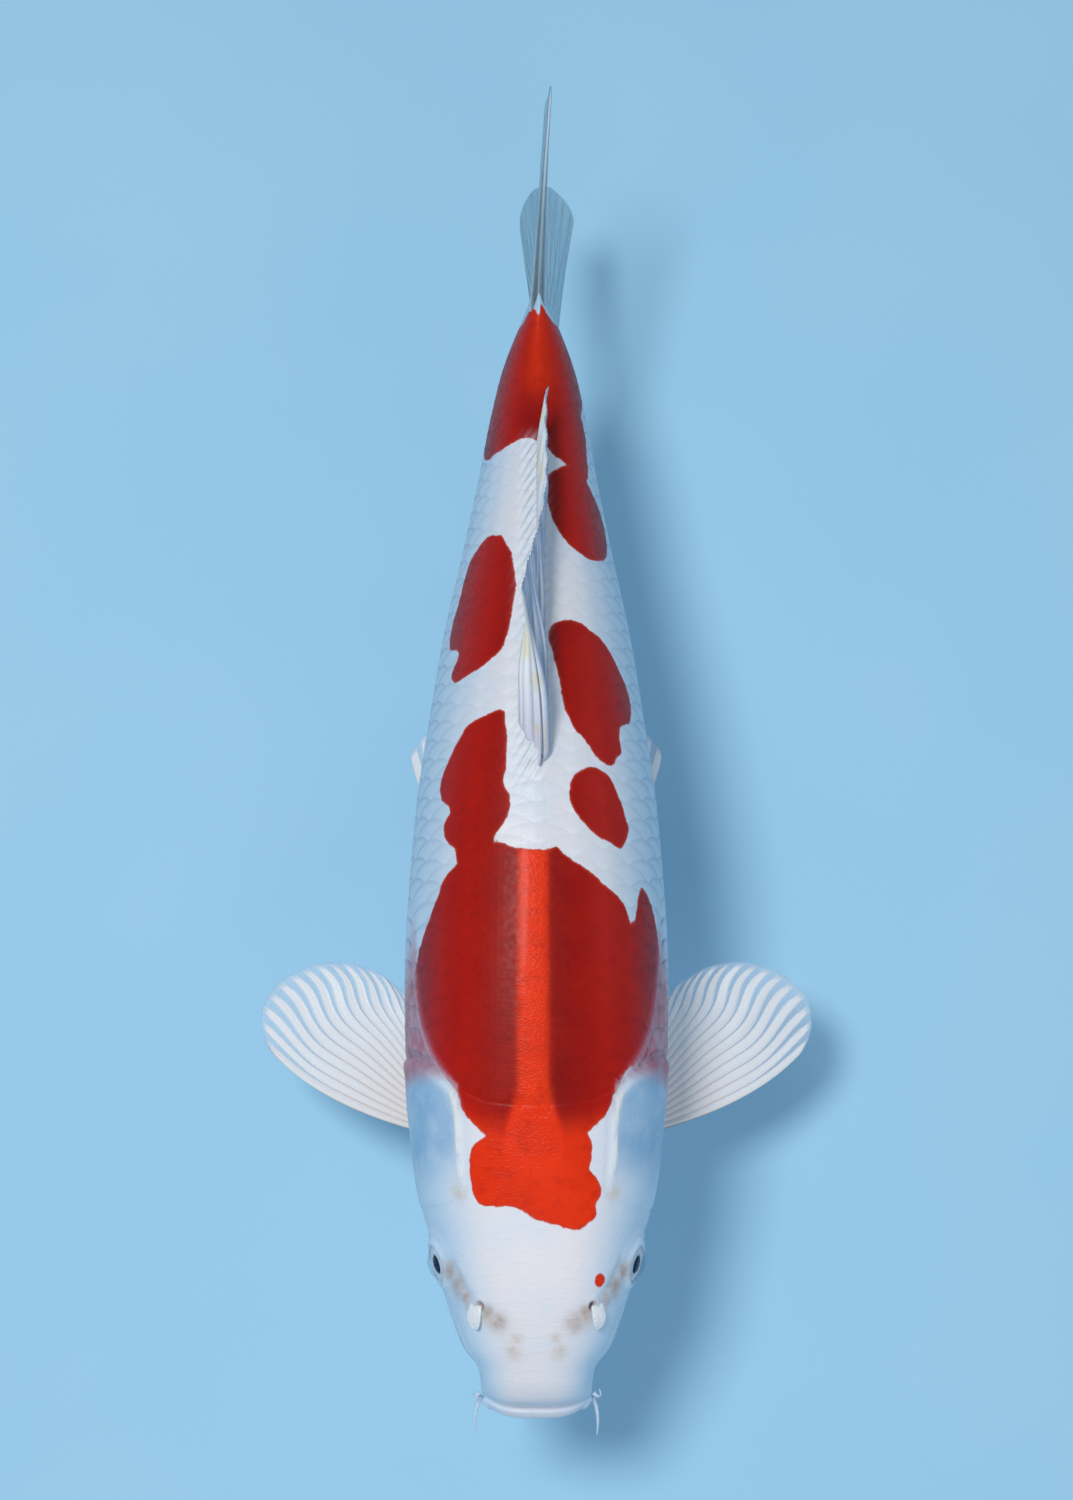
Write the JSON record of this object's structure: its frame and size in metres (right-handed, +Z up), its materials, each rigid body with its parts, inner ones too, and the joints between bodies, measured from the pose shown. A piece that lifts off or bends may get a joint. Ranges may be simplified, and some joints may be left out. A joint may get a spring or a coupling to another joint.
{
  "type": "koi carp model",
  "caption": "Life-size still model of a stout red-and-white koi carp swimming with its fins spread, held up by a flat base and short rods.",
  "frame": {"origin": "middle of the underside of the stand's base, where it rests on the floor", "axes": "+Z up, the fish lies along Y with its snout toward -Y and its tail toward +Y, and its left side is toward +X"},
  "size_m": [0.2814, 0.6635, 0.2821],
  "materials": {
    "skin_white": "moist scaleless skin, white with a red crown patch",
    "lip_skin": "soft moist pinkish-white skin",
    "jaw_skin": "soft moist white skin",
    "gill_pearl_left": "pearly bluish-white bone under thin skin",
    "gill_pearl_right": "pearly bluish-white bone under thin skin",
    "eye_left": "wet glossy cornea over a dark pupil",
    "eye_right": "wet glossy cornea over a dark pupil",
    "barbel_lower_left_skin": "soft white skin",
    "barbel_lower_right_skin": "soft white skin",
    "barbel_upper_left_skin": "soft white skin",
    "barbel_upper_right_skin": "soft white skin",
    "skin_red": "scaled skin, deep red saddle over white",
    "skin_patched": "scaled skin, white with red patches",
    "skin_tail_red": "scaled skin, red above and white below",
    "pectoral_fin_left_skin": "milky rays in a clear membrane",
    "pectoral_fin_right_skin": "milky rays in a clear membrane",
    "pelvic_fin_left_skin": "milky rays in a clear membrane",
    "pelvic_fin_right_skin": "milky rays in a clear membrane",
    "dorsal_fin_skin": "milky rays in a clear membrane",
    "anal_fin_skin": "milky rays in a clear membrane",
    "tail_fin_upper_skin": "milky rays in a clear membrane",
    "tail_fin_lower_skin": "milky rays in a clear membrane",
    "stand_board": "pale satin board",
    "stand_rod_front_steel": "brushed round bar",
    "stand_rod_rear_steel": "brushed round bar"
  },
  "bodies": {
    "root": {"head": "skin_white", "lips": "lip_skin", "lower_jaw": "jaw_skin", "gill_cover_left": "gill_pearl_left", "gill_cover_right": "gill_pearl_right", "eye_left": "eye_left", "eye_right": "eye_right", "barbel_lower_left": "barbel_lower_left_skin", "barbel_lower_right": "barbel_lower_right_skin", "barbel_upper_left": "barbel_upper_left_skin", "barbel_upper_right": "barbel_upper_right_skin", "trunk_front": "skin_red", "trunk_rear": "skin_patched", "tail_stalk": "skin_tail_red", "pectoral_fin_left": "pectoral_fin_left_skin", "pectoral_fin_right": "pectoral_fin_right_skin", "pelvic_fin_left": "pelvic_fin_left_skin", "pelvic_fin_right": "pelvic_fin_right_skin", "dorsal_fin": "dorsal_fin_skin", "anal_fin": "anal_fin_skin", "tail_fin_upper": "tail_fin_upper_skin", "tail_fin_lower": "tail_fin_lower_skin", "stand_base": "stand_board", "stand_rod_front": "stand_rod_front_steel", "stand_rod_rear": "stand_rod_rear_steel"}
  },
  "joints": []
}
